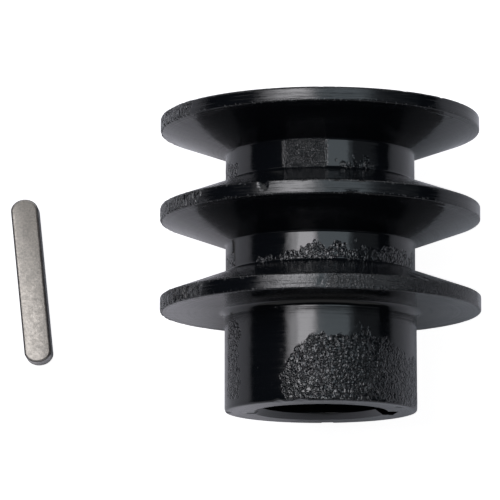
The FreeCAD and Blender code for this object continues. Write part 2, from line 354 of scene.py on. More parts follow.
class Shading:
    """A material's nodes, added one at a time."""

    def __init__(self, name: str) -> None:
        """Starts a material with its surface shader.

        Args:
            name: the material's name.
        """
        self.material = bpy.data.materials.new(name)
        self.material.use_nodes = True
        self.nodes = self.material.node_tree.nodes
        self.links = self.material.node_tree.links
        self.surface = self.nodes["Principled BSDF"]
        self.places = self.add("ShaderNodeTexCoord").outputs["Object"]

    def add(self, kind: str, **settings: object) -> bpy.types.Node:
        """Adds a node.

        Args:
            kind: the node's type.
            settings: its properties by name.

        Returns:
            The node.
        """
        node = self.nodes.new(kind)
        for name, value in settings.items():
            setattr(node, name, value)
        return node

    def feed(self, socket: Socket, value: object) -> None:
        """Sets an input to a number, or links it to another node's output."""
        if isinstance(value, Socket):
            self.links.new(value, socket)
        else:
            socket.default_value = value

    def math(self, operation: str, *values: object) -> Socket:
        """Works out one number from others.

        Args:
            operation: the node's operation, such as ADD.
            values: numbers or outputs.

        Returns:
            The result's socket.
        """
        node = self.add("ShaderNodeMath", operation=operation)
        for socket, value in zip(node.inputs, values):
            self.feed(socket, value)
        return node.outputs[0]

    def times(self, first: object, second: object) -> Socket:
        """Multiplies two numbers."""
        return self.math("MULTIPLY", first, second)

    def centred(self, pattern: Socket) -> Socket:
        """Shifts a pattern of 0 to 1 so that it is about 0 in the middle."""
        return self.math("SUBTRACT", pattern, 0.5)

    def remap(self, value: object, low: float, high: float, to_low: float = 0.0,
              to_high: float = 1.0) -> Socket:
        """Maps a range of numbers onto another, and clamps it."""
        node = self.add("ShaderNodeMapRange", clamp=True)
        for socket, number in zip(node.inputs, (value, low, high, to_low, to_high)):
            self.feed(socket, number)
        return node.outputs[0]

    def noise(self, scale: float, detail: float = 2.0, distortion: float = 0.0,
              places: object = None, rough: float = 0.5) -> Socket:
        """Adds a noise pattern.

        Args:
            scale: features to the metre.
            detail: layers of finer noise.
            distortion: how far the pattern is swirled.
            places: where to read it, the object's own coordinates if left out.
            rough: how strong the finer layers are.

        Returns:
            A number of about 0 to 1, mostly near 0.5.
        """
        node = self.add("ShaderNodeTexNoise")
        self.feed(node.inputs["Vector"], self.places if places is None else places)
        self.feed(node.inputs["Scale"], scale)
        self.feed(node.inputs["Detail"], detail)
        self.feed(node.inputs["Roughness"], rough)
        self.feed(node.inputs["Distortion"], distortion)
        return node.outputs["Fac"]

    def finish(self, inputs: dict[str, object]) -> bpy.types.Material:
        """Sets or links the surface shader's inputs by name, and gives the material."""
        for name, value in inputs.items():
            self.feed(self.surface.inputs[name], value)
        return self.material

    def attribute(self, name: str) -> Socket:
        """Reads a number that is stored on the mesh."""
        return self.add("ShaderNodeAttribute", attribute_name=name).outputs["Fac"]

    def blend(self, share: object, first: object, second: object) -> Socket:
        """Mixes two colours by a number of 0 to 1."""
        node = self.add("ShaderNodeMix", data_type="RGBA")
        self.feed(node.inputs["Factor"], share)
        colours = [socket for socket in node.inputs if socket.type == "RGBA"]
        for socket, colour in zip(colours, (first, second)):
            self.feed(socket, colour)
        return next(socket for socket in node.outputs if socket.type == "RGBA")

    def bore_coordinates(self) -> tuple[Socket, ...]:
        """Gives each place's angle about the bore, place along it, and distance from its axis."""
        parts = self.add("ShaderNodeSeparateXYZ")
        self.feed(parts.inputs[0], self.places)
        x, y, z = parts.outputs
        squares = self.math("ADD", self.times(x, x), self.times(z, z))
        return self.math("ARCTAN2", x, z), y, self.math("SQRT", squares)

    def vector(self, *parts: Socket) -> Socket:
        """Joins three numbers to a vector."""
        node = self.add("ShaderNodeCombineXYZ")
        for socket, part in zip(node.inputs, parts):
            self.feed(socket, part)
        return node.outputs[0]

    def relief(self, *heights: Socket) -> None:
        """Raises the surface by the sum of heights in metres, as a bump."""
        total = heights[0]
        for height in heights[1:]:
            total = self.math("ADD", total, height)
        bump = self.add("ShaderNodeBump")
        self.feed(bump.inputs["Strength"], 1.0)
        self.feed(bump.inputs["Distance"], 1.0)
        self.feed(bump.inputs["Height"], total)
        self.feed(self.surface.inputs["Normal"], bump.outputs["Normal"])


@dataclass(frozen=True)
class BlackPaint:
    """Glossy black paint over turned iron, with cast skin showing through it in places.

    Heights and distances are in metres.

    Attributes:
        colour: of the paint.
        worn: of dull iron where an edge has lost its paint.
        gloss: roughness of smooth paint.
        wrinkle: height of the cast skin's wrinkles.
        tool_mark: height of the turning tool's lines.
        rim_mark: height of the coarser lines round the rims.
        peel: height of the paint's long, shallow ripples.
        speckle: height of the fine grains on one groove floor and one rim.
        rim_from: distance from the bore's axis at which the rims begin.
        rim_to: distance at which they are wholly there.
    """

    colour: Colour = (0.0030, 0.0036, 0.0048, 1.0)
    worn: Colour = (0.028, 0.029, 0.031, 1.0)
    gloss: float = 0.12
    wrinkle: float = 5.2e-4
    tool_mark: float = 2.4e-5
    rim_mark: float = 1.1e-4
    peel: float = 2.5e-5
    speckle: float = 4.2e-4
    rim_from: float = 0.0315
    rim_to: float = 0.0325

    def material(self) -> bpy.types.Material:
        """Makes the material.

        Returns:
            The material, which reads the casting's own attributes.
        """
        shade = Shading("black_paint")
        skin, wear = shade.attribute(SKIN_ATTRIBUTE), shade.attribute(WEAR_ATTRIBUTE)
        speckled = shade.attribute(SPECKLE_ATTRIBUTE)
        angle, along, radius = shade.bore_coordinates()
        at_rim = shade.remap(radius, self.rim_from, self.rim_to)
        # The borders of the cast skin break up into strokes
        scattered = shade.times(shade.centred(shade.noise(650.0, 1.0)), 1.3)
        shown = shade.remap(shade.math("ADD", skin, scattered), 0.35, 0.6)
        turned = shade.remap(shade.math("MAXIMUM", shown, speckled), 0.0, 1.0, 1.0, 0.0)
        # The tool's lines run round the bore, and are coarser on the rims
        lathe = shade.vector(shade.times(angle, 1.6), shade.times(along, 2600.0),
                             shade.times(radius, 2600.0))
        tool_lines = shade.noise(1.0, 3.0, places=lathe)
        marks = shade.times(tool_lines,
                            shade.remap(at_rim, 0.0, 1.0, self.tool_mark, self.rim_mark))
        ripples = shade.times(shade.noise(420.0, 1.0), self.peel)
        # The skin's wrinkles lie in arc lengths, drawn out across the rims
        drawn_out = shade.remap(at_rim, 0.0, 1.0, 1.0, 0.45)
        arc = shade.times(angle, shade.remap(at_rim, 0.0, 1.0, 0.0202, 0.0336))
        skin_places = shade.vector(arc, shade.times(along, drawn_out), 0.0)
        wrinkles = shade.centred(shade.noise(1000.0, 1.0, 1.5, skin_places, 0.45))
        height = shade.times(wrinkles,
                             shade.remap(at_rim, 0.0, 1.0, self.wrinkle, 1.7 * self.wrinkle))
        relief = shade.times(height, shade.times(shown, shade.math("MAXIMUM", skin, 1.0)))
        grains = shade.centred(shade.noise(3000.0, 1.0, 0.5))
        grains = shade.times(shade.times(grains, self.speckle), speckled)
        shade.relief(shade.times(marks, turned), ripples, relief, grains)
        flecks = shade.times(shade.remap(shade.noise(1500.0, 2.0), 0.57, 0.63), wear)
        roughness = shade.remap(shade.noise(70.0, 2.0), 0.4, 0.65, self.gloss - 0.02,
                                self.gloss + 0.05)
        streaks = shade.remap(tool_lines, 0.35, 0.65, -0.03, 0.05)
        for rougher in (shade.times(streaks, turned), shade.times(speckled, 0.2),
                        shade.times(flecks, 0.3)):
            roughness = shade.math("ADD", roughness, rougher)
        return shade.finish({"Base Color": shade.blend(flecks, self.colour, self.worn),
                             "Roughness": roughness, "IOR": 1.5})


@dataclass(frozen=True)
class TumbledSteel:
    """Bright key steel that was tumbled: warm grey, mottled and finely pitted.

    Attributes:
        light: the brighter of its two greys.
        dark: the darker of its two greys.
        painted_shade: painted shade, a near-black colour on its edges and sides.
        gloss: its middle roughness.
        dent: height of its shallow dents, in metres.
        pit: height of its fine pits, in metres.
    """

    light: Colour = (0.56, 0.53, 0.50, 1.0)
    dark: Colour = (0.39, 0.375, 0.36, 1.0)
    # Painted shade: the near-black colour that darkens the key's sides and edges
    painted_shade: Colour = (0.030, 0.030, 0.031, 1.0)
    gloss: float = 0.36
    dent: float = 1.6e-5
    pit: float = 8e-6

    def material(self) -> bpy.types.Material:
        """Makes the material."""
        shade = Shading("tumbled_steel")
        mottle = shade.math("ADD", shade.noise(2200.0, 3.0, rough=0.6),
                            shade.times(shade.noise(260.0), 0.35))
        steel = shade.blend(shade.remap(mottle, 0.5, 0.85), self.dark, self.light)
        shade.relief(shade.times(shade.noise(1300.0, 3.0), self.dent),
                     shade.times(shade.noise(3500.0, 1.0), self.pit))
        return shade.finish({
            # Painted shade: the sides and edges are blended towards a near-black colour
            "Base Color": shade.blend(shade.attribute(SIDE_SHADE_ATTRIBUTE), steel, self.painted_shade),
            "Roughness": shade.remap(shade.noise(1200.0, 3.0), 0.3, 0.7, self.gloss - 0.06,
                                     self.gloss + 0.08),
            "Metallic": 1.0})


@dataclass(frozen=True)
class BlackOxide:
    """Blackened screw steel with a slight oily sheen.

    Attributes:
        colour: of the oxide.
        gloss: its middle roughness.
        pit: height of its fine pits, in metres.
    """

    colour: Colour = (0.05, 0.05, 0.055, 1.0)
    gloss: float = 0.36
    pit: float = 4e-6

    def material(self) -> bpy.types.Material:
        """Makes the material."""
        shade = Shading("black_oxide")
        rubbed = tuple(3.0 * part for part in self.colour[:3]) + (1.0,)
        worn_through = shade.remap(shade.noise(1200.0, 3.0), 0.5, 0.7)
        shade.relief(shade.times(shade.noise(3000.0, 2.0), self.pit))
        return shade.finish({
            "Base Color": shade.blend(worn_through, self.colour, rubbed),
            "Roughness": shade.remap(shade.noise(800.0, 2.0), 0.3, 0.7, self.gloss - 0.08,
                                     self.gloss + 0.08),
            "Metallic": 1.0})


def dress(piece: Piece, material: bpy.types.Material, body: str,
          node: str) -> None:
    """Gives a finished piece its material and its body, and hides the CAD node that it stands for.

    Args:
        piece: the finished piece.
        material: its finish.
        body: what it moves with.
        node: the CAD node that it replaces.
    """
    piece.data.materials.clear()
    piece.data.materials.append(material)
    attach(piece, body)
    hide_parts(node)
    LOG.info("%s: %d faces, stands for %s", piece.name, len(piece.data.polygons), node)


# ---- The casting ----


@dataclass(frozen=True)
class RoughPatch:
    """A place on a turned surface where the tool missed the cast skin. Sizes are in millimetres.

    Attributes:
        radius: of the turned surface.
        outline: corners as (degrees from the top towards +X, millimetres along the bore).
        depth: half the height of the skin's humps.
        ragged: how far the edge wanders.
        fade: how wide the edge is.
        strength: how strongly the skin shows, 1 for most patches.
        reach: how far off the radius the surface may lie.
    """

    radius: float
    outline: tuple[Point, ...]
    depth: float = 0.035
    ragged: float = 0.9
    fade: float = 1.2
    strength: float = 1.0
    reach: float = 0.4

    def cover(self, places: np.ndarray) -> np.ndarray:
        """Works out how strongly the skin shows at each place.

        Args:
            places: one row for each place, in metres.

        Returns:
            0 outside the patch to its strength inside it, for each place.
        """
        arc = bore_angles(places) * self.radius
        station = places[:, 1] / MM
        corners = np.array([(math.radians(angle) * self.radius, along)
                            for angle, along in self.outline])
        low, high = corners.min(axis=0) - 2.0, corners.max(axis=0) + 2.0
        near = np.abs(bore_radii(places) - self.radius) < self.reach
        near &= (arc > low[0]) & (arc < high[0])
        near &= (station > low[1]) & (station < high[1])
        cover = np.zeros(len(places))
        chosen = np.flatnonzero(near)
        inside = self.depth_inside(np.stack([arc[chosen], station[chosen]], axis=1), corners)
        wander = grain(places[chosen], 2.4 * MM, 3.0) + 0.8 * grain(places[chosen], 1.0 * MM, 7.0)
        cover[chosen] = self.strength * smooth_step(inside + self.ragged * wander, -0.2, self.fade)
        return cover

    @staticmethod
    def depth_inside(points: np.ndarray, corners: np.ndarray) -> np.ndarray:
        """Gives each point's distance to a polygon's edge, negative outside it.

        Args:
            points: one row for each point.
            corners: the polygon's corners, one row each.

        Returns:
            One signed distance for each point.
        """
        nearest = np.full(len(points), np.inf)
        inside = np.zeros(len(points), dtype=bool)
        for start, end in zip(corners, np.roll(corners, -1, axis=0)):
            side = end - start
            along = np.clip((points - start) @ side / (side @ side), 0.0, 1.0)
            away = np.linalg.norm(points - start - along[:, None] * side, axis=1)
            nearest = np.minimum(nearest, away)
            straddles = (start[1] > points[:, 1]) != (end[1] > points[:, 1])
            rise = side[1] if side[1] else 1e-9  # a level side is never straddled
            crossing = start[0] + side[0] * (points[:, 1] - start[1]) / rise
            inside ^= straddles & (points[:, 0] < crossing)
        return np.where(inside, nearest, -nearest)


@dataclass(frozen=True)
class Nick:
    """A small dent or chip in the casting. Sizes are in millimetres.

    Attributes:
        REACH: how far off its surface a dent still sinks a place.
        radius: of the surface that it is in.
        angle: degrees from the top towards +X.
        station: place along the bore.
        half_arc: half its length round the bore.
        half_along: half its length along the bore.
        depth: at its middle.
        slant: how far it drifts round the bore for each millimetre along it.
    """

    REACH: ClassVar[float] = 0.6
    radius: float
    angle: float
    station: float
    half_arc: float
    half_along: float
    depth: float
    slant: float = 0.0

    def sink(self, places: np.ndarray) -> np.ndarray:
        """Works out how far each place sinks, in metres."""
        arc = bore_angles(places) * self.radius - math.radians(self.angle) * self.radius
        along = places[:, 1] / MM - self.station
        off = np.abs(bore_radii(places) - self.radius) > self.REACH
        away = np.hypot((arc - self.slant * along) / self.half_arc, along / self.half_along)
        return np.where(off, 0.0, np.clip(1.0 - away, 0.0, 1.0) * self.depth * MM)


@dataclass(frozen=True)
class GrainyZone:
    """A stretch of a turned surface where the paint dried with fine grains in it.

    Sizes are in millimetres, and angles in degrees from the top towards +X.

    Attributes:
        REACH: how far off the radius the surface may lie.
        FADE: half the width of the zone's soft ends, in degrees.
        radius: of the turned surface.
        middle: of the stretch along the bore.
        half_width: along the bore.
        start: where it begins, as an angle.
        end: where it ends, as an angle.
        strength: how strongly the grains show, up to 1.
    """

    REACH: ClassVar[float] = 0.8
    FADE: ClassVar[float] = 2.0
    radius: float
    middle: float
    half_width: float
    start: float
    end: float
    strength: float

    def cover(self, places: np.ndarray) -> np.ndarray:
        """Works out how strongly the grains show at each place."""
        angle = np.degrees(bore_angles(places))
        from_middle = np.abs(places[:, 1] / MM - self.middle)
        on_surface = np.abs(bore_radii(places) - self.radius) < self.REACH
        cover = 1.0 - smooth_step(from_middle, self.half_width - 0.3, self.half_width + 0.4)
        cover *= smooth_step(angle, self.start - self.FADE, self.start + self.FADE)
        cover *= 1.0 - smooth_step(angle, self.end - self.FADE, self.end + self.FADE)
        return np.where(on_surface, self.strength * cover, 0.0)


@dataclass
class PulleyCasting:
    """The iron casting: three flanges with two belt grooves between them, and a long hub.

    Sizes are in millimetres, and the outside ones come from the CAD node's box.
    """

    root_radius: float = 20.0
    hub_radius: float = 20.2
    bore_radius: float = 12.5
    groove_pitch: float = 19.2
    rim_land: float = 2.85
    last_rim_extra: float = 0.25
    root_width: float = 6.2
    mouth_radial: float = 1.6
    mouth_axial: float = 1.2
    keyway_width: float = 6.05
    keyway_roof: float = 15.9
    keyway_turn: float = KEYWAY_TURN
    keyway_ragged: float = 0.14
    screw_station: float = SCREW_STATION
    tapped_radius: float = 3.0
    tapped_chamfer: float = 0.4
    hub_fillet: float = 1.3
    rim_band: float = 0.32
    burr: float = 0.12
    steps: int = 448
    flange_radius: float = field(init=False)
    flange_end: float = field(init=False)
    hub_end: float = field(init=False)

    def __post_init__(self) -> None:
        """Reads the outside sizes from the CAD node."""
        low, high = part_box("pulley_casting")
        self.flange_radius = round(high[2] / MM, 1)
        self.flange_end = round(high[1] / MM, 3)
        self.hub_end = round(low[1] / MM, 3)

    def corners(self) -> list[Corner]:
        """Lists the corners of the casting's half section, round from the bore's flange end."""
        half_land, half_root = self.rim_land / 2.0, self.root_width / 2.0
        pitch, half_pitch = self.groove_pitch, self.groove_pitch / 2.0
        last_face = -(pitch + half_land + self.last_rim_extra)
        mouth = self.bore_radius + self.mouth_radial
        rim, root, hub = self.flange_radius, self.root_radius, self.hub_radius
        mouth_round, rim_round, root_round, fine, cone = 0.1, 0.3, 0.6, 0.4, 2.8
        outline = [
            Corner(self.bore_radius, self.flange_end - self.mouth_axial, mouth_round),
            Corner(mouth, self.flange_end, mouth_round, 4.0),
            Corner(rim, self.flange_end, rim_round, fine),
            Corner(rim, pitch - half_land, rim_round, cone),
        ]
        for groove, next_face in ((half_pitch, -half_land), (-half_pitch, last_face)):
            outline += [
                Corner(root, groove + half_root, root_round, fine),
                Corner(root, groove - half_root, root_round, cone),
                Corner(rim, groove - half_pitch + half_land, rim_round, fine),
                Corner(rim, next_face, rim_round, cone),
            ]
        return outline + [
            Corner(hub, last_face, self.hub_fillet, 0.33),
            Corner(hub, self.hub_end, 0.5, 0.8),
            Corner(mouth, self.hub_end, mouth_round, 1.0),
            Corner(self.bore_radius, self.hub_end + self.mouth_axial, mouth_round, 6.0),
        ]

    def keyway_cutter(self) -> Piece:
        """Makes the bar that cuts the keyway, with the ragged sides that a slotting tool leaves."""
        overrun = 4.0
        length = (self.flange_end - self.hub_end + overrun) * MM
        middle = (self.flange_end + self.hub_end) / 2.0 * MM
        clear_selection()
        bpy.ops.mesh.primitive_cube_add(
            size=1.0, location=(self.keyway_roof / 2.0 * MM, middle, 0.0),
            scale=(self.keyway_roof * MM, length, self.keyway_width * MM))
        cutter = new_piece("keyway_cutter")
        with editing(cutter):
            bpy.ops.mesh.select_all(action="SELECT")
            bpy.ops.mesh.subdivide(number_cuts=24)
        places = read_rows(cutter.data.vertices, "co")
        jitter = self.keyway_ragged * MM * grain(places, 1.1 * MM, 4.0)
        outer = places[:, 0] > self.bore_radius * MM
        places[:, 2] += np.where(outer, jitter * np.sign(places[:, 2]), 0.0)
        write_places(cutter, places)
        turn_about_bore(cutter, math.radians(self.keyway_turn))
        return cutter

    def hole_cutter(self) -> Piece:
        """Makes the drill that cuts the set screw's hole, with its mouth chamfer."""
        reach = self.hub_radius + 3.0
        clear_selection()
        bpy.ops.mesh.primitive_cylinder_add(
            vertices=64, radius=self.tapped_radius * MM, depth=reach * MM,
            location=(reach / 2.0 * MM, self.screw_station * MM, 0.0),
            rotation=(0.0, math.pi / 2.0, 0.0))
        cutter = new_piece("hole_cutter")
        cone = 3.0 * self.tapped_chamfer  # the chamfer's cone runs on past the hub
        with editing(cutter):
            select_where(cutter, "FACE", lambda face: face.normal.x > 0.9)
            start = self.hub_radius - self.tapped_chamfer
            bpy.ops.transform.translate(value=((start - reach) * MM, 0.0, 0.0))
            bpy.ops.mesh.extrude_region_move(TRANSFORM_OT_translate={"value": (cone * MM, 0.0, 0.0)})
            scale = 1.0 + cone / self.tapped_radius
            bpy.ops.transform.resize(value=(1.0, scale, scale))
        turn_about_bore(cutter, math.radians(self.keyway_turn))
        return cutter

    def rough_patches(self) -> list[RoughPatch]:
        """Lists where the cast skin shows on the hub, the groove floors, the rims and one cone."""
        hub, root, rim = self.hub_radius, self.root_radius, self.flange_radius
        end = self.hub_end - 0.6  # past the hub's end, so that no border shows there
        patches = [
            RoughPatch(hub, (
                (-21.5, end), (-25.0, -39.8), (-25.0, -36.8), (-21.5, -33.2), (-16.5, -30.8),
                (-9.0, -28.6), (-2.0, -27.2), (4.0, -28.0), (17.0, -27.9), (24.0, -26.8),
                (31.0, -28.0), (34.0, -33.0), (33.0, end)), fade=1.6),
            RoughPatch(hub, (
                (16.0, -27.5), (20.0, -25.3), (27.0, -25.6), (37.0, -27.5), (50.0, -28.8),
                (70.0, -29.8), (84.0, -31.0), (90.0, -35.8), (97.0, -37.0), (97.0, end),
                (26.0, end)), ragged=1.8, fade=2.6),
            RoughPatch(hub, (
                (-75.0, -24.4), (-66.0, -23.4), (-55.0, -25.0), (-57.0, -32.0), (-54.5, -37.0),
                (-58.0, -40.4), (-74.0, -39.5)), ragged=1.1, strength=1.6),
            RoughPatch(root, (
                (-92.0, 10.6), (-66.0, 10.4), (-57.0, 9.6), (-60.0, 5.6), (-92.0, 5.8)),
                ragged=0.6, strength=1.6),
            RoughPatch(root, (
                (-43.0, -11.0), (-30.0, -10.6), (-14.0, -9.5), (12.0, -8.9), (30.0, -9.6),
                (44.0, -9.3), (56.0, -9.2), (84.0, -8.6), (84.0, -13.6), (-43.0, -13.6)),
                ragged=1.4),
            RoughPatch(root, ((-84.0, -9.0), (-64.0, -9.4), (-61.0, -12.0), (-84.0, -13.4)),
                       ragged=0.6, strength=1.6),
            RoughPatch(root, ((13.0, 8.5), (30.0, 8.8), (34.0, 5.8), (12.0, 5.6)), ragged=1.5,
                       fade=0.9),
            RoughPatch(rim - 2.9, (
                (40.0, -15.6), (52.0, -14.6), (78.0, -14.9), (86.0, -18.0), (40.0, -18.0)),
                depth=0.0, ragged=1.2, fade=0.8, strength=0.6, reach=3.0),
        ]
        for middle, edge in ((self.groove_pitch, -50.0), (0.0, -45.0), (-self.groove_pitch, -44.0)):
            low, high = middle - self.rim_land, middle + self.rim_land
            outline = ((-112.0, low), (edge - 3.0, low), (edge, high), (-112.0, high))
            patches.append(RoughPatch(rim, outline, depth=0.05, ragged=0.8, fade=0.8, strength=1.4))
        return patches

    def nicks(self) -> list[Nick]:
        """Lists the chips in the rims and the marks on the hub and its end face."""
        half_land, last, end = self.rim_land / 2.0, -self.groove_pitch, self.hub_end
        last_edge = half_land + last
        dents = (
            (self.flange_radius, (
                (-20.0, half_land, 0.95, 1.5, 1.1), (-19.6, half_land - 1.0, 0.6, 0.9, 0.4),
                (10.4, -half_land, 1.2, 0.9, 0.4), (12.9, -half_land, 0.7, 0.7, 0.3),
                (14.5, half_land, 0.8, 0.3, 0.2), (6.0, half_land, 0.5, 0.25, 0.12),
                (-6.0, half_land, 0.4, 0.25, 0.12), (0.6, last, 0.42, 1.6, 0.26, 0.5),
                (2.4, last, 0.42, 1.6, 0.30, 0.4), (4.0, last + 0.3, 0.36, 1.2, 0.18, 0.4),
                (6.5, last_edge, 0.5, 0.4, 0.18), (34.0, last_edge, 1.0, 0.35, 0.16),
                (40.0, last_edge, 1.4, 0.4, 0.2), (47.0, last_edge, 1.2, 0.35, 0.18),
                (31.0, self.flange_end, 0.9, 0.3, 0.12), (48.0, self.flange_end, 0.7, 0.3, 0.15),
                (-26.8, self.groove_pitch - half_land, 0.5, 0.3, 0.12))),
            (self.hub_radius, (
                (10.4, -29.2, 2.6, 0.3, 0.16), (7.3, -25.7, 0.4, 0.4, 0.08),
                (12.6, -25.7, 0.4, 0.35, 0.08), (-27.5, -31.6, 0.7, 0.35, 0.03),
                (-22.5, -31.2, 0.7, 0.35, 0.04), (-91.0, end, 1.6, 0.9, 0.60),
                (176.0, end, 1.4, 0.8, 0.50), (-26.0, end, 1.4, 0.7, 0.35),
                (-12.0, end, 1.8, 0.7, 0.40))),
            (14.4, ((-98.0, end, 1.1, 0.8, 0.45),)),
            (18.0, ((64.0, end, 1.3, 0.8, 0.30),)),
        )
        return [Nick(radius, *sizes) for radius, rows in dents for sizes in rows]

    def edge_wear(self, places: np.ndarray) -> np.ndarray:
        """Gives 1 at the rims' edges, where the paint has gone, and 0 elsewhere."""
        wear = np.zeros(len(places))
        for middle in (self.groove_pitch, 0.0, -self.groove_pitch):
            from_edge = np.abs(np.abs(places[:, 1] / MM - middle) - self.rim_land / 2.0)
            wear = np.maximum(wear, 1.0 - smooth_step(from_edge, 0.2, 0.4))
        return np.where(bore_radii(places) > self.flange_radius - self.rim_band, wear, 0.0)

    def weather(self, piece: Piece) -> None:
        """Roughens the cast skin, dents the casting, and stores what the paint reads.

        Args:
            piece: the turned and cut casting.
        """
        places = read_rows(piece.data.vertices, "co")
        normals = read_rows(piece.data.vertex_normals, "vector")
        skin = np.zeros(len(places))
        sink = np.zeros(len(places))
        for patch in self.rough_patches():
            cover = patch.cover(places)
            inside = np.flatnonzero(cover > 0.0)
            bumps = 1.6 * grain(places[inside], 1.0 * MM, 11.0)
            bumps += 0.6 * grain(places[inside], 2.2 * MM, 5.0)
            sink[inside] -= cover[inside] * patch.depth * bumps * MM
            skin = np.maximum(skin, cover)
        for nick in self.nicks():
            sink += nick.sink(places)
        wear = self.edge_wear(places)
        worn = np.flatnonzero(wear > 0.0)
        burrs = np.maximum(0.0, grain(places[worn], 0.9 * MM, 21.0) - 0.2)
        sink[worn] += wear[worn] * burrs * self.burr * MM
        grains = np.max([zone.cover(places) for zone in self.grainy_zones()], axis=0)
        write_places(piece, places - normals * sink[:, None])
        write_attribute(piece, SKIN_ATTRIBUTE, skin)
        write_attribute(piece, WEAR_ATTRIBUTE, wear)
        write_attribute(piece, SPECKLE_ATTRIBUTE, grains)

    def grainy_zones(self) -> list[GrainyZone]:
        """Lists where fine grains show in the paint: one groove floor and the rim beside the hub."""
        rim, last = self.flange_radius, -self.groove_pitch
        return [
            GrainyZone(self.root_radius, self.groove_pitch / 2.0, self.root_width / 2.0, -21.5,
                       4.0, 1.0),
            GrainyZone(rim, last, 1.4, -20.0, 0.0, 0.12),
            GrainyZone(rim, last, 1.4, 2.0, 75.0, 0.65),
        ]

    def build(self) -> Piece:
        """Turns, cuts and weathers the casting.

        Returns:
            The finished piece.
        """
        piece = turn_outline("painted_casting", rounded_outline(self.corners()), self.steps)
        cut_away(piece, self.keyway_cutter())
        cut_away(piece, self.hole_cutter())
        close_up(piece)
        smooth_shading(piece)
        self.weather(piece)
        dress(piece, BlackPaint().material(), "pulley", "pulley_casting")
        return piece


# ---- The key and the set screw ----


@dataclass
class ParallelKey:
    """The loose parallel key: a round-ended bar with tumbled edges. Sizes are in millimetres."""

    width: float = 6.0
    length: float = 36.4
    edge: float = 0.6
    turn: float = 6.02
    end_bulge: float = 0.82
    end_segments: int = 48

    def build(self) -> Piece:
        """Makes the key as a disc drawn out to a bar, with rounded edges.

        Returns:
            The finished piece.
        """
        low, high = (Vector(corner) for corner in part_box("parallel_key"))
        height = high.z - low.z
        clear_selection()
        bpy.ops.mesh.primitive_circle_add(
            vertices=2 * self.end_segments, radius=self.width / 2.0 * MM, fill_type="NGON")
        piece = new_piece("tumbled_key")
        half_run = (self.length - self.width * self.end_bulge) / 2.0 * MM
        with editing(piece):
            bpy.ops.mesh.select_all(action="SELECT")
            bpy.ops.transform.resize(value=(1.0, self.end_bulge, 1.0))
            select_where(piece, "VERT", lambda vertex: vertex.co.y > -TINY)
            bpy.ops.transform.translate(value=(0.0, half_run, 0.0))
            select_where(piece, "VERT", lambda vertex: vertex.co.y < half_run - TINY)
            bpy.ops.transform.translate(value=(0.0, -half_run, 0.0))
            bpy.ops.mesh.select_all(action="SELECT")
            bpy.ops.mesh.extrude_region_move(TRANSFORM_OT_translate={"value": (0.0, 0.0, height)})
        close_up(piece)
        apply_modifier(piece, "BEVEL", width=self.edge * MM, segments=5, limit_method="ANGLE",
                       angle_limit=math.radians(60.0))
        take_up(piece)
        piece.rotation_euler = (0.0, 0.0, math.radians(self.turn))
        piece.location = ((low.x + high.x) / 2.0, (low.y + high.y) / 2.0, low.z)
        settle()
        smooth_shading(piece)
        normals = read_rows(piece.data.vertex_normals, "vector")
        # Stores the painted shade that darkens the key's sides and edges, less on the near end
        write_attribute(piece, SIDE_SHADE_ATTRIBUTE, self.painted_shade(normals))
        dress(piece, TumbledSteel().material(), "key", "parallel_key")
        return piece

    @staticmethod
    def painted_shade(normals: np.ndarray) -> np.ndarray:
        """Works out how much painted shade each place gets: the edges and sides most, the near end
        least.
        """
        level = np.hypot(normals[:, 0], normals[:, 1])
        near_end = smooth_step(-normals[:, 1], 0.3, 0.6) * smooth_step(level, 0.8, 0.93)
        return smooth_step(level, 0.5, 0.85) * (1.0 - 0.85 * near_end)


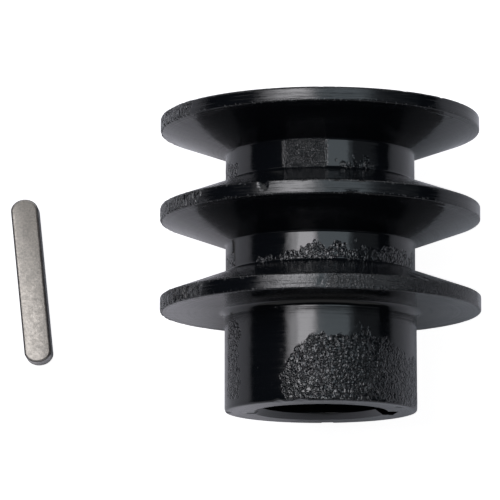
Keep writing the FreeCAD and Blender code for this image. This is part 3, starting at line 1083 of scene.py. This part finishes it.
@dataclass
class SetScrew:
    """The hexagon socket set screw over the keyway. Sizes are in millimetres."""

    radius: float = 2.95
    length: float = 5.0
    seat: float = 15.05
    station: float = SCREW_STATION
    turn: float = KEYWAY_TURN
    thread_pitch: float = 1.0
    thread_depth: float = 0.5
    end_bevel: float = 0.5
    socket_flats: float = 3.0
    socket_depth: float = 2.2
    cup_radius: float = 1.5
    cup_depth: float = 0.7
    around: int = 72
    along: int = 60

    def cut_thread(self, piece: Piece) -> None:
        """Draws the shank in along a helix, and bevels its two ends.

        Args:
            piece: a plain cylinder with many rings, along Z from 0.
        """
        places = read_rows(piece.data.vertices, "co")
        heights = places[:, 2] / MM
        radii = np.hypot(places[:, 0], places[:, 1]) / MM
        turns = np.arctan2(places[:, 1], places[:, 0]) / FULL_TURN
        phase = np.mod(heights / self.thread_pitch - turns, 1.0)
        flank = np.clip(np.abs(phase - 0.5) * 2.5 - 0.15, 0.0, 1.0)
        from_end = np.minimum(heights, self.length - heights)
        limit = self.radius - np.clip(self.end_bevel - from_end, 0.0, self.end_bevel)
        wanted = np.minimum(self.radius - self.thread_depth * (1.0 - flank), limit)
        outer = radii > self.radius - 0.01
        shrink = np.where(outer, wanted / np.maximum(radii, 1e-6), 1.0)
        places[:, :2] *= shrink[:, None]
        write_places(piece, places)

    def build(self) -> Piece:
        """Makes the set screw upright on Z and lays it in its hole.

        Returns:
            The finished piece.
        """
        clear_selection()
        bpy.ops.mesh.primitive_circle_add(vertices=self.around, radius=self.radius * MM,
                                          fill_type="NGON")
        piece = new_piece("socket_set_screw")
        with editing(piece):
            step = self.length / self.along * MM
            for ring in range(self.along):
                floor = ring * step - TINY
                select_where(piece, "FACE", lambda face: (face.center.z > floor
                                                          and len(face.vertices) > 4))
                bpy.ops.mesh.extrude_region_move(TRANSFORM_OT_translate={"value": (0.0, 0.0, step)})
        close_up(piece)
        self.cut_thread(piece)
        self.cut_ends(piece)
        smooth_shading(piece)
        take_up(piece)
        outwards = Matrix.Rotation(math.pi / 2.0 + math.radians(self.turn), 4, "Y")
        seat = outwards @ Vector((0.0, 0.0, self.seat * MM)) + Vector((0.0, self.station * MM, 0.0))
        piece.matrix_world = Matrix.Translation(seat) @ outwards
        settle()
        dress(piece, BlackOxide().material(), "set_screw", "set_screw")
        return piece

    def cut_ends(self, piece: Piece) -> None:
        """Cuts the hexagon socket into the outer end and the cup into the inner end.

        Args:
            piece: the threaded shank, along Z from 0.
        """
        corner = self.socket_flats / 2.0 / math.cos(math.pi / 6.0)
        depth = 2.0 * self.socket_depth
        clear_selection()
        bpy.ops.mesh.primitive_cylinder_add(
            vertices=6, radius=corner * MM, depth=depth * MM, location=(0.0, 0.0, self.length * MM))
        cut_away(piece, new_piece("socket_cutter"))
        clear_selection()
        bpy.ops.mesh.primitive_cone_add(vertices=48, radius1=2.0 * self.cup_radius * MM,
                                        radius2=0.0, depth=2.0 * self.cup_depth * MM)
        cut_away(piece, new_piece("cup_cutter"))


# ---- The studio ----


def area_light(name: str, place: tuple[float, float, float], tip: float, width: float,
               length: float, radiance: float) -> Piece:
    """Adds a rectangular soft light.

    Args:
        name: the light's name.
        place: its middle, in metres.
        tip: its turn about X, in radians, 0 to face down.
        width: its side along X, in metres.
        length: its other side, in metres.
        radiance: how bright it looks.

    Returns:
        The light.
    """
    clear_selection()
    bpy.ops.object.light_add(type="AREA", location=place, rotation=(tip, 0.0, 0.0))
    lamp = bpy.context.object
    lamp.name = name
    lamp.data.shape = "RECTANGLE"
    lamp.data.size, lamp.data.size_y = width, length
    lamp.data.energy = radiance * math.pi * lamp.data.size * lamp.data.size_y
    return lamp


@dataclass(frozen=True)
class Softbox:
    """A soft light that hangs flat above the object.

    Attributes:
        name: the light's name.
        left: angle from straight up to its left edge, in degrees, negative to the left.
        right: angle from straight up to its right edge, in degrees.
        near: its near edge along Y, in metres.
        far: its far edge along Y, in metres.
        radiance: how bright it looks.
        height: above the bore's axis, in metres.
        tint: its colour.
    """

    name: str
    left: float
    right: float
    near: float
    far: float
    radiance: float
    height: float = 0.72
    tint: tuple[float, float, float] = (0.975, 0.965, 1.0)

    def hang(self, pieces: Sequence[Piece]) -> None:
        """Hangs the light level, facing down, and lets it shine on some pieces only.

        Args:
            pieces: what the light reaches.
        """
        west, east = (math.tan(math.radians(edge)) * self.height for edge in (self.left, self.right))
        middle = ((west + east) / 2.0, (self.near + self.far) / 2.0, self.height)
        lamp = area_light(self.name, middle, 0.0, east - west, self.far - self.near, self.radiance)
        lamp.data.color = self.tint
        reach = bpy.data.collections.new(self.name + "_reach")
        for piece in pieces:
            reach.objects.link(piece)
        lamp.light_linking.receiver_collection = reach


@dataclass
class Studio:
    """A pale floor, soft light from above and a camera that looks nearly straight down."""

    camera_distance: float = 0.72686
    camera_elevation: float = 80.40
    camera_azimuth: float = -7.04
    aim: tuple[float, float, float] = (-0.01485, -0.00738, 0.0)
    lens: float = 247.67
    floor_size: float = 6.0
    floor_colour: Colour = (0.635, 0.632, 0.672, 1.0)
    floor_glow: float = 0.95
    room_colour: Colour = (0.004, 0.0044, 0.005, 1.0)
    wall_distance: float = 1.0
    wall_width: float = 3.0
    wall_height: float = 1.1
    wall_lift: float = 0.02
    cool: tuple[float, float, float] = (0.80, 0.92, 1.0)

    def lay_floor(self, name: str, glow: float, seen: bool) -> Piece:
        """Lays a pale floor at the level that the rims and the key rest on.

        Args:
            name: the floor's name.
            glow: light that the floor gives off by itself.
            seen: True for the floor that the camera sees, False for the one that lights the
                object and is reflected in it.

        Returns:
            The floor.
        """
        clear_selection()
        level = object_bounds()[0][2]
        bpy.ops.mesh.primitive_plane_add(size=self.floor_size, location=(0.0, 0.0, level))
        floor = new_piece(name)
        floor.data.materials.append(Shading(name).finish({
            "Base Color": self.floor_colour, "Roughness": 1.0, "Specular IOR Level": 0.0,
            "Emission Color": (1.0, 1.0, 1.0, 1.0), "Emission Strength": glow}))
        floor.visible_camera = seen
        floor.visible_diffuse = floor.visible_glossy = not seen
        floor.visible_shadow = False
        floor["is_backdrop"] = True
        return floor

    def stand_wall(self, name: str, side: float, radiance: float) -> None:
        """Stands a tall soft light at one end of the bore's axis, out of the camera's sight.

        Args:
            name: the light's name.
            side: 1 for the +Y end, -1 for the -Y end.
            radiance: how bright it looks.
        """
        middle = (0.0, side * self.wall_distance, self.wall_height / 2.0 + self.wall_lift)
        wall = area_light(name, middle, -side * math.pi / 2.0, self.wall_width, self.wall_height,
                          radiance)
        wall.visible_camera = False

    def darken_room(self) -> None:
        """Leaves the room all but dark, so that the gloss shows the softboxes alone."""
        world = bpy.data.worlds.new("dark_room")
        bpy.context.scene.world = world
        world.use_nodes = True
        background = world.node_tree.nodes["Background"]
        background.inputs["Color"].default_value = self.room_colour

    def set_camera(self) -> None:
        """Sets up the camera so that the bore's axis runs straight up and down its view."""
        elevation, azimuth = math.radians(self.camera_elevation), math.radians(self.camera_azimuth)
        ahead = Vector((math.cos(elevation) * math.sin(azimuth),
                        math.cos(elevation) * math.cos(azimuth), -math.sin(elevation)))
        right = ahead.cross(Vector((0.0, 1.0, 0.0))).normalized()
        up = right.cross(ahead)
        clear_selection()
        bpy.ops.object.camera_add()
        camera = bpy.context.object
        camera.name = "camera"
        camera.data.lens = self.lens
        camera.data.clip_start = 0.01
        place = Vector(self.aim) - ahead * self.camera_distance
        turn = Matrix((right, up, -ahead)).transposed().to_4x4()
        camera.matrix_world = Matrix.Translation(place) @ turn
        bpy.context.scene.camera = camera

    def softboxes(self) -> list[Softbox]:
        """Lists the softboxes over the pulley; the first four are nested, for a soft border."""
        near, far = -0.10, 0.42
        return [
            Softbox("main_softbox", -42.0, -3.5, near, far, 1.5),
            Softbox("middle_softbox", -39.0, -4.0, near + 0.01, far - 0.01, 1.5, 0.715),
            Softbox("inner_softbox", -35.0, -4.5, near + 0.02, far - 0.02, 1.5, 0.71),
            Softbox("softbox_core", -27.0, -8.0, near + 0.08, far - 0.06, 3.2, 0.70),
            Softbox("fill_softbox", -3.5, 34.0, near, far, 1.15, tint=self.cool),
            Softbox("wide_fill_softbox", -3.5, 39.0, near, far, 0.60, 0.715, self.cool),
            Softbox("side_softbox", 39.0, 74.0, near, far, 0.16, tint=(0.86, 0.94, 1.0)),
        ]

    def build(self, pulley: Sequence[Piece], key: Piece) -> None:
        """Builds the whole studio.

        Args:
            pulley: the pieces of the pulley.
            key: the loose key, which has a softbox of its own so that its steel doesn't glare.
        """
        self.set_camera()
        floors = [self.lay_floor("floor", self.floor_glow, True),
                  self.lay_floor("reflected_floor", 0.0, False)]
        for softbox in self.softboxes():
            softbox.hang([*pulley, *floors])
        Softbox("key_softbox", -46.0, -2.0, -0.30, 0.17, 2.05, 0.70, (1.0, 0.985, 0.975)).hang([key])
        self.stand_wall("front_wall", -1.0, 0.38)
        self.stand_wall("back_wall", 1.0, 0.8)
        self.darken_room()
        bpy.context.scene.view_settings.view_transform = "Standard"


def main() -> None:
    """Builds the casting, the key, the set screw and the studio."""
    logging.basicConfig(level=logging.INFO)
    casting, key, screw = PulleyCasting().build(), ParallelKey().build(), SetScrew().build()
    Studio().build([casting, screw], key)


if __name__ == "__main__":
    main()
